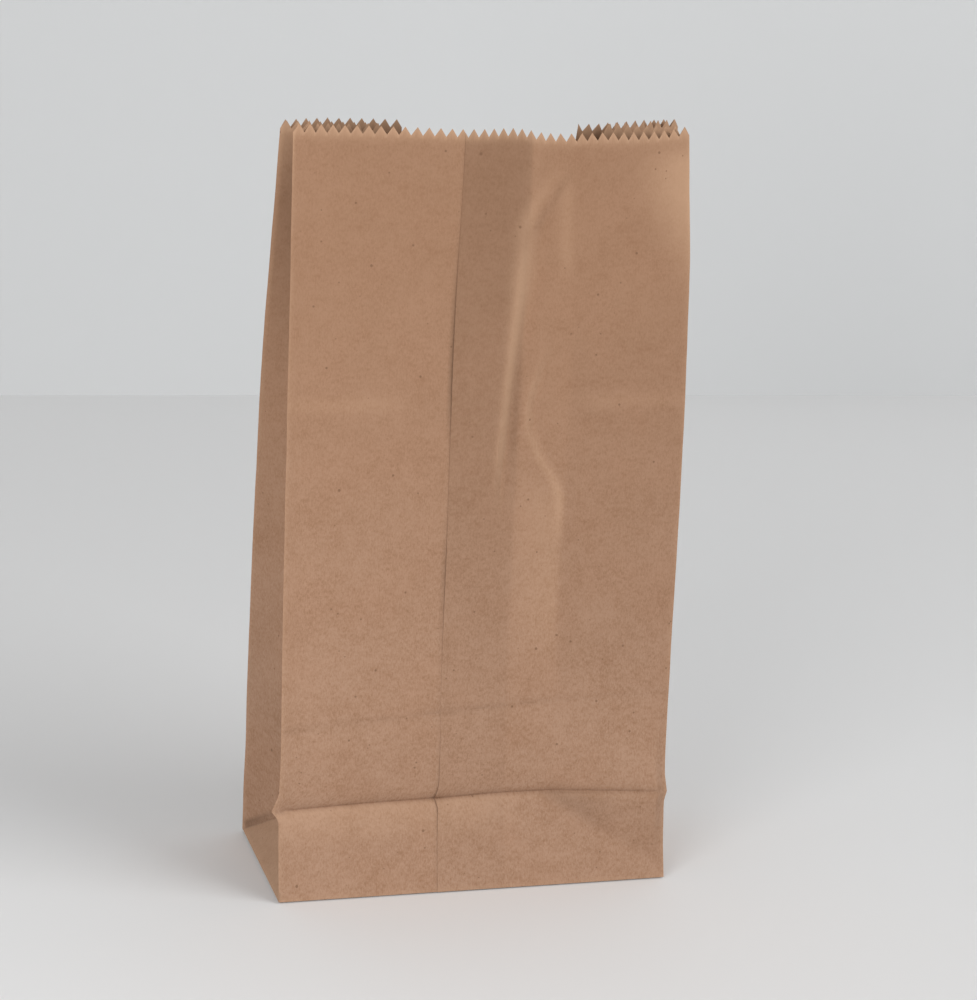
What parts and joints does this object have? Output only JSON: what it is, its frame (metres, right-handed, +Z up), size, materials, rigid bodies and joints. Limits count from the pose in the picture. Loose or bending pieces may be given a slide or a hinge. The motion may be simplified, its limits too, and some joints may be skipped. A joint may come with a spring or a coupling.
{
  "type": "paper lunch bag",
  "caption": "Open brown kraft paper bag with tucked side gussets, a lapped front seam, a flat folded bottom, a saw-toothed mouth and a thumb notch; stands up and carries food.",
  "frame": {"origin": "middle of the flat bottom, on the surface the bag stands on", "axes": "+Z up towards the mouth, -Y out of the lapped front face, +X to the right as the front is seen"},
  "size_m": [0.13, 0.0621, 0.248],
  "materials": {
    "kraft_paper": "matte, faintly fibrous, creased at the folds"
  },
  "bodies": {
    "root": {"paper_bag": "kraft_paper"}
  },
  "joints": []
}
